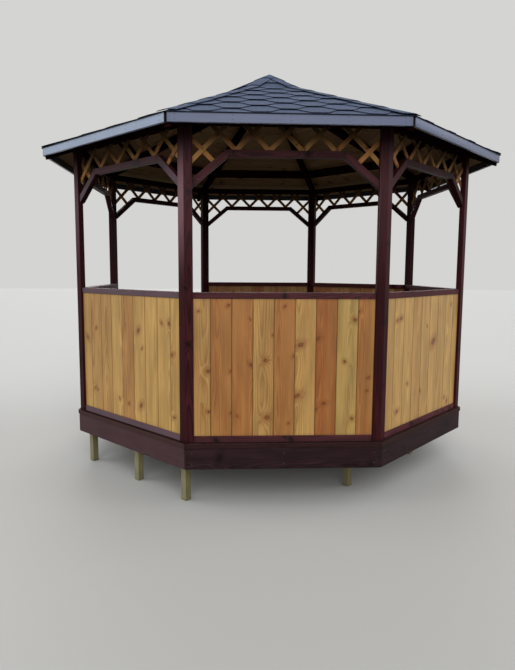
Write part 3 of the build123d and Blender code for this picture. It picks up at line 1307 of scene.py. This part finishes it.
@dataclass
class Lattice:
    """Crossed slats over the arches, nailed at the crossings."""

    plan: Plan
    pitch: float = 0.2045
    width: float = 0.028
    thickness: float = 0.008
    arch_top: float = 2.246
    arch_half: float = 0.369
    header: float = 2.391
    fall: float = math.tan(math.radians(40.0))
    arris: float = 0.001
    slats: int = 6
    slat_half: float = 0.62
    slope: float = 45.0
    void_foot: float = 1.6
    void_inner: float = 1.2
    nail: Fastener = Fastener(0.0028, 0.0008)

    def spandrel_void(self) -> Piece:
        """Solid below the arch and its braces, which the slats stop at.

        Returns:
            The solid.
        """
        low = (-ROUGH_HALF, -ROUGH_RADIUS, self.void_foot)
        void = block("void", low, (ROUGH_HALF, -self.void_inner, self.arch_top))
        slant = math.hypot(1.0, self.fall)
        for side in (-1.0, 1.0):
            point = (side * self.arch_half, 0.0, self.arch_top)
            saw(void, point, (side * self.fall / slant, 0.0, 1.0 / slant))
        return void

    def layer(self, lean: float, depth: float, void: Piece) -> Piece:
        """Slats of one layer of the front bay.

        Args:
            lean: Lean of the slats from upright, in degrees.
            depth: Distance of the layer's middle from the gazebo's middle.
            void: Solid that they stop at.

        Returns:
            The layer.
        """
        half = (self.width / 2, self.thickness / 2, self.slat_half)
        slat = block("slat", tuple(-h for h in half), half)
        tilt = Matrix.Rotation(math.radians(lean), 4, "Y")
        slats = []
        for column in range(-self.slats // 2, self.slats // 2):
            foot = ((column + 0.5) * self.pitch, -depth, self.arch_top)
            slats.append(copied(slat, "slat", Matrix.Translation(foot) @ tilt))
        bpy.data.objects.remove(slat)
        layer = joined("layer", slats)
        modify(layer, "BOOLEAN", operation="DIFFERENCE", object=void, solver="EXACT")
        saw(layer, (0, 0, self.header), (0, 0, 1))
        self.plan.saw_to_posts(layer)
        soften(layer, self.arris, 1)
        return layer

    def build(self) -> None:
        """Builds the lattice once and fits it in every bay."""
        void = self.spandrel_void()
        middle = self.plan.arch_middle
        outer = self.layer(self.slope, middle + self.thickness / 2, void)
        inner = self.layer(-self.slope, middle - self.thickness / 2, void)
        bpy.data.objects.remove(void)
        pattern = joined("pattern", [outer, inner])
        for index, bay in enumerate(BAYS):
            slats = copied(pattern, "slats_" + bay, bay_turn(index))
            mark_timbers(slats, 81 + index, spread=(0.8, 0.12, 0.0), knot_size=0.005)
            deliver(slats, Finish.LATTICE, "lattice_" + bay)
        bpy.data.objects.remove(pattern)
        face = -(middle + self.thickness)
        last = (self.slats - 1) / 2
        places = [(side * last * self.pitch, face, self.arch_top) for side in (-1, 1)]
        crossing = self.arch_top + self.pitch / 2
        half = self.slats // 2
        places += [(k * self.pitch, face, crossing) for k in range(1 - half, half)]
        self.nail.drive("lattice_nails", Finish.LATTICE, places)


@dataclass
class Eaves:
    """Painted boards round the eaves, with their nails."""

    arris: float = 0.002
    face: float = 1.710697
    spans: tuple[float, ...] = (-0.655, -0.33, 0.0, 0.33, 0.655)
    rows: tuple[float, ...] = (0.016, 0.041)
    nail: Fastener = Fastener(0.0026, 0.0006)

    def build(self) -> None:
        """Dresses the boards and drives the nails."""
        show_node(
            "fascia_boards", "eave_boards", Finish.FASCIA, self.arris, 91, Lie.ROUND,
            spread=(0.8, 0.05, 0.0), knot_size=0.007,
        )
        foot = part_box("fascia_boards")[0].z
        places = [(x, -self.face, foot + row) for x in self.spans for row in self.rows]
        self.nail.drive("eave_nails", Finish.FASCIA, places)


@dataclass
class Roof:
    """Sheathing planks, hexagonal shingles and hip caps."""

    top: float = 3.13502
    pitch: float = math.radians(23.0)
    edge: float = 1.716692
    eave_inner: float = 1.691692
    shingle: float = 0.005
    sheathing: float = 0.017
    bend: float = 0.432
    apex: float = 3.1830
    tab: float = 0.33333
    flat: float = 0.098
    notch: float = 0.098
    exposure: float = 0.1418
    lap: float = 0.02
    sheet: float = 0.004
    lift: float = 0.003
    setback: float = 0.011
    sheet_gap: float = 0.0008
    slip: float = 0.004
    curl: float = 0.0012
    tip: float = 0.01
    starter: float = 0.24
    tabs: int = 9
    sheet_tabs: int = 3
    peak_end: float = 0.004
    plank: float = 0.112
    plank_gap: float = 0.003
    plank_top: float = -0.0035
    plank_end: float = 0.03
    plank_mitre: float = 0.002
    plank_arris: float = 0.0012
    cap_half: float = 0.064
    cap_step: float = 0.286
    cap_length: float = 0.318
    cap_end: float = 0.03
    cap_seat: float = 0.0095
    cap_sink: float = 0.0045
    crease: float = 0.006

    def plane(self, apothem: float) -> float:
        """Height of the sheathing's top at a distance from the middle."""
        return self.top - self.shingle / math.cos(self.pitch) - apothem * math.tan(self.pitch)

    def steep(self) -> float:
        """Pitch of the peak."""
        return math.atan((self.apex - self.plane(self.bend)) / self.bend)

    def slope_frame(self, apothem: float, pitch: float) -> Matrix:
        """Frame on the front roof face: along the eave, up the slope, out of the face.

        Args:
            apothem: Distance of its origin from the middle.
            pitch: Pitch of the face there.

        Returns:
            The frame.
        """
        turn = Matrix.Rotation(pitch, 4, "X")
        return Matrix.Translation((0, -apothem, self.plane(apothem))) @ turn

    def planks(self) -> None:
        """Lays the sheathing planks, face by face."""
        pitch = self.plank + self.plank_gap
        slant = self.eave_inner / math.cos(self.pitch)
        low = (-ROUGH_HALF, 0.0, -self.sheathing)
        deck = block("planks", low, (ROUGH_HALF, self.plank, self.plank_top))
        repeat(deck, int(slant / pitch) + 1, (0, pitch, 0))
        deck.data.transform(self.slope_frame(self.eave_inner, self.pitch))
        saw(deck, (0, -self.plank_end, 0), (0, 1, 0))
        saw_to_hips(deck, self.plank_mitre)
        soften(deck, self.plank_arris, 1)
        sheathing = ring_of("sheathing_planks", deck)
        mark_timbers(sheathing, 101, Lie.ROUND, spread=(0.9, 0.16, 0.0), knot_size=0.010)
        deliver(sheathing, Finish.SHEATHING, "roof_sheathing")

    def course(self) -> Piece:
        """One course of shingles laid flat: teeth towards -Y from the notch line.

        Returns:
            The course, its teeth's tips on Y = 0 and its underside on Z = 0.
        """
        tab = primitive("plane", size=1.0)
        depth = self.exposure + self.lap
        tab.data.transform(Matrix.Diagonal((self.tab, depth, 1.0, 1.0)))
        tab.data.transform(Matrix.Translation((0, self.exposure + depth / 2, 0)))
        shoulder = (self.tab - self.notch) / 2
        with edit(tab):
            for side in (-1.0, 1.0):
                bpy.ops.mesh.select_all(action="SELECT")
                bpy.ops.mesh.bisect(plane_co=(side * shoulder, 0, 0), plane_no=(1, 0, 0))

        def on_notch_line(place: Vector) -> bool:
            """Whether a place is on the line that the tooth starts from."""
            return place.y < self.exposure + 1e-5 and abs(place.x) < shoulder + 1e-5

        vertices = tab.data.vertices
        for edge in tab.data.edges:
            edge.select = all(on_notch_line(vertices[v].co) for v in edge.vertices)
        for vertex in vertices:
            vertex.select = on_notch_line(vertex.co)
        for face in tab.data.polygons:
            face.select = False
        bpy.ops.object.mode_set(mode="EDIT")
        bpy.ops.mesh.extrude_region_move(
            TRANSFORM_OT_translate={"value": (0, -self.exposure, 0)}
        )
        narrower = (self.flat / (2 * shoulder), 1, 1)
        bpy.ops.transform.resize(value=narrower, center_override=(0, 0, 0))
        bpy.ops.object.mode_set(mode="OBJECT")
        modify(
            tab, "ARRAY", count=self.sheet_tabs, relative_offset_displace=(1, 0, 0),
            use_merge_vertices=True,
        )
        step = self.sheet_tabs * self.tab + self.sheet_gap
        repeat(tab, self.tabs // self.sheet_tabs, (step, 0, 0))
        tab.data.transform(Matrix.Translation((-self.tab * (self.tabs - 1) / 2, 0, 0)))
        with edit(tab):
            bpy.ops.mesh.normals_make_consistent(inside=False)
        if tab.data.polygons[0].normal.z < 0:
            tab.data.flip_normals()
        modify(tab, "SOLIDIFY", thickness=self.sheet, offset=1.0)
        return tab

    def tilt(self) -> Matrix:
        """Tip of a course, which lies on the course below it."""
        return Matrix.Translation((0, 0, self.lift)) @ Matrix.Rotation(
            -math.atan(self.sheet / self.exposure), 4, "X"
        )

    def courses(self, draw: random.Random) -> Piece:
        """All courses of one face laid out flat, from the eave to the apex.

        Args:
            draw: Draws of the small lifts and tones.

        Returns:
            The courses as one piece.
        """
        pattern = self.course()
        slant = (self.edge - self.bend) / math.cos(self.pitch) + self.bend / math.cos(self.steep())
        count = int(slant / self.exposure) + 1
        rows = []
        for row in range(count):
            shift = (self.tab / 2 if row % 2 == 0 else 0.0) + self.tab * draw.choice((-1, 0, 1))
            shift += draw.uniform(-self.slip, self.slip)
            rise = self.setback + row * self.exposure
            copy = copied(pattern, "row", Matrix.Translation((shift, rise, 0)) @ self.tilt())
            for vertex in copy.data.vertices:
                if vertex.co.y < rise + self.tip:
                    vertex.co.z += draw.uniform(0.0, self.curl)
            rows.append(copy)
        bpy.data.objects.remove(pattern)
        starter = block("row", (-ROUGH_HALF, 0.0, -self.sheet), (ROUGH_HALF, self.starter, 0.0))
        starter.data.transform(self.tilt())
        return joined("courses", rows + [starter])

    def tone_tabs(self, piece: Piece, seed: int) -> None:
        """Gives each tab of a face that is laid flat its own tone.

        Args:
            piece: Courses of the face.
            seed: Seed of the tones.
        """

        def tone(place: Vector) -> float:
            """Tone of the tab at a place."""
            row, column = round(place.y / self.exposure), math.floor(place.x / self.tab)
            return 0.93 + 0.14 * random.Random(seed * 7919 + row * 131 + column).random()

        tone_faces(piece, tone)

    def shingles(self) -> None:
        """Lays the shingles on every face, and on the steeper peak above them."""
        bend = (self.edge - self.bend) / math.cos(self.pitch)
        peaks = []
        for index, bay in enumerate(BAYS):
            laid = self.courses(random.Random(121 + index))
            self.tone_tabs(laid, index)
            peak = copied(laid, "peak")
            saw(laid, (0, bend, 0), (0, 1, 0))
            laid.data.transform(self.slope_frame(self.edge, self.pitch))
            saw(laid, (0, -self.edge, 0), (0, -1, 0))
            saw_to_hips(laid)
            laid.data.transform(bay_turn(index))
            laid.name = "shingles_" + bay
            deliver(laid, Finish.SHINGLE, "roof_face_" + bay)
            saw(peak, (0, bend, 0), (0, -1, 0))
            peak.data.transform(Matrix.Translation((0, -bend, 0)))
            peak.data.transform(self.slope_frame(self.bend, self.steep()))
            saw_to_hips(peak)
            saw(peak, (0, -self.peak_end, 0), (0, 1, 0))
            peak.data.transform(bay_turn(index))
            peaks.append(peak)
        deliver(joined("peak_shingles", peaks), Finish.SHINGLE, "roof_peak")

    def hip_surface(self, radius: float) -> float:
        """Height of the sheathing along a hip, which steepens at the peak.

        Args:
            radius: Distance from the middle.

        Returns:
            The height.
        """
        apothem = radius * math.cos(HALF)
        if apothem > self.bend:
            return self.plane(apothem)
        return self.plane(self.bend) + (self.bend - apothem) * math.tan(self.steep())

    def cap(self, outer: float) -> Piece:
        """One hip cap, folded over a hip along -Y.

        Args:
            outer: Distance of its outer end from the middle.

        Returns:
            The cap.
        """
        cap = primitive("grid", x_subdivisions=8, y_subdivisions=6, size=1.0)
        modify(cap, "SOLIDIFY", thickness=self.sheet, offset=1.0)
        for vertex in cap.data.vertices:
            side = vertex.co.x * 2 * self.cap_half
            run = (vertex.co.y + 0.5) * self.cap_length
            radius = max(outer - run, 0.0)
            fold = math.hypot(side, self.crease) - self.crease
            pitch = self.pitch if radius * math.cos(HALF) > self.bend else self.steep()
            fall = math.tan(pitch) * math.sin(HALF) * fold
            seat = self.cap_seat - self.cap_sink * run / self.cap_step
            height = self.hip_surface(radius) - fall + seat + vertex.co.z
            vertex.co = Vector((side, -radius, height))
        return cap

    def caps(self) -> None:
        """Folds the caps over one hip, and again over the others."""
        corner = self.edge / math.cos(HALF)
        count = math.ceil((corner - self.cap_end) / self.cap_step)
        caps = joined("caps", [self.cap(corner - k * self.cap_step) for k in range(count)])
        with edit(caps):
            bpy.ops.mesh.normals_make_consistent(inside=False)
        saw_to_hips(caps)
        for side in (-1.0, 1.0):
            normal = (side * math.sin(HALF), -math.cos(HALF), 0.0)
            saw(caps, tuple(c * self.edge for c in normal), normal)
        caps.data.transform(Matrix.Rotation(HALF, 4, "Z"))

        def tone(place: Vector) -> float:
            """Tone of the cap at a place."""
            number = int(math.hypot(place.x, place.y) / self.cap_step)
            return 0.95 + 0.12 * random.Random(number * 31 + 5).random()

        tone_faces(caps, tone)
        hip_caps = ring_of("hip_cap_shingles", caps)
        take(hip_caps)
        bpy.ops.object.shade_smooth_by_angle(angle=math.radians(30))
        deliver(hip_caps, Finish.SHINGLE, "hip_caps")

    def build(self) -> None:
        """Builds the roof from its sheathing up."""
        self.planks()
        self.shingles()
        self.caps()


@dataclass
class Studio:
    """Pale floor, soft light and the camera."""

    place: Triple = (-0.3613, -4.9067, 1.5228)
    pan: float = 0.0464
    tilt: float = 0.1106
    roll: float = 0.0052
    focal: float = 548.614
    centre: tuple[float, float] = (252.437, 331.296)
    width: int = 515
    height: int = 670
    sensor: float = 36.0
    sight: float = 200.0
    floor_half: float = 40.0
    sky: float = 0.45
    front_lamp: float = 1.8
    side_lamp: float = 1.05
    elevation: float = 30.0
    softness: float = 50.0
    backdrop: Colour = shade(212, 212, 210)

    def camera(self) -> None:
        """Sets the camera where the photograph was taken."""
        camera = bpy.data.cameras.new("camera")
        camera.sensor_fit = "HORIZONTAL"
        camera.sensor_width = self.sensor
        camera.lens = self.focal * self.sensor / self.width
        camera.shift_x = (self.width / 2 - self.centre[0]) / self.width
        camera.shift_y = (self.centre[1] - self.height / 2) / self.width
        camera.clip_end = self.sight
        holder = bpy.data.objects.new("camera", camera)
        bpy.context.scene.collection.objects.link(holder)
        right = Vector((math.cos(self.pan), -math.sin(self.pan), 0.0))
        level = math.cos(self.tilt)
        east, north = math.sin(self.pan) * level, math.cos(self.pan) * level
        ahead = Vector((east, north, -math.sin(self.tilt)))
        up = right.cross(ahead)
        tipped = right * math.cos(self.roll) + up * math.sin(self.roll)
        upright = up * math.cos(self.roll) - right * math.sin(self.roll)
        turn = Matrix((tipped, upright, -ahead)).transposed().to_4x4()
        holder.matrix_world = Matrix.Translation(self.place) @ turn
        bpy.context.scene.camera = holder

    def floor(self) -> None:
        """Lays the studio floor."""
        floor = primitive("plane", size=2 * self.floor_half)
        floor.name = "studio_floor"
        floor.data.materials.append(material("studio_floor", FloorFinish().surface))
        floor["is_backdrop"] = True

    def lamp(self, name: str, bearing: float, power: float) -> None:
        """Sets one soft far lamp that shines on the gazebo.

        Args:
            name: Name of the lamp.
            bearing: Bearing that it shines from, in degrees.
            power: Its power.
        """
        light = bpy.data.lights.new(name, "SUN")
        light.angle = math.radians(self.softness)
        light.energy = power
        holder = bpy.data.objects.new(name, light)
        bpy.context.scene.collection.objects.link(holder)
        turn = Matrix.Rotation(math.radians(bearing), 4, "Z")
        fall = Matrix.Rotation(math.radians(90.0 - self.elevation), 4, "Y")
        holder.matrix_world = turn @ fall

    def light(self) -> None:
        """Lights the studio softly from all round."""
        world = bpy.data.worlds.new("studio")
        bpy.context.scene.world = world
        world.use_nodes = True
        sheet = Sheet(world.node_tree)
        white = shade(255, 255, 255)
        room = sheet.add("Background", {}, {"Color": white, "Strength": self.sky})
        shown = sheet.add("Background", {}, {"Color": self.backdrop, "Strength": 1.0})
        sheet.end("World", sheet.add("MixShader", {}, {0: sheet.seen(), 1: room, 2: shown}))
        for number, power in enumerate((self.side_lamp, self.front_lamp) * 2):
            self.lamp("lamp_%d" % number, 90.0 * number, power)

    def build(self) -> None:
        """Sets up the whole studio."""
        scene = bpy.context.scene
        scene.view_settings.view_transform = "Standard"
        self.camera()
        self.floor()
        self.light()


def main() -> None:
    """Builds the gazebo from the ground up."""
    logging.basicConfig(level=logging.INFO, format="%(message)s")
    plan = Plan()
    Studio().build()
    for assembly in (
        Substructure(), Deck(plan), Skirt(), Framing(), Parapets(plan), Lattice(plan), Eaves(), Roof(),
    ):
        LOG.info("building %s", type(assembly).__name__)
        assembly.build()
    sizes = {"cad": CAD_BOX, "visual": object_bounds()}
    {key: [list(map(float, corner)) for corner in box] for key, box in sizes.items()}


if __name__ == "__main__":
    main()
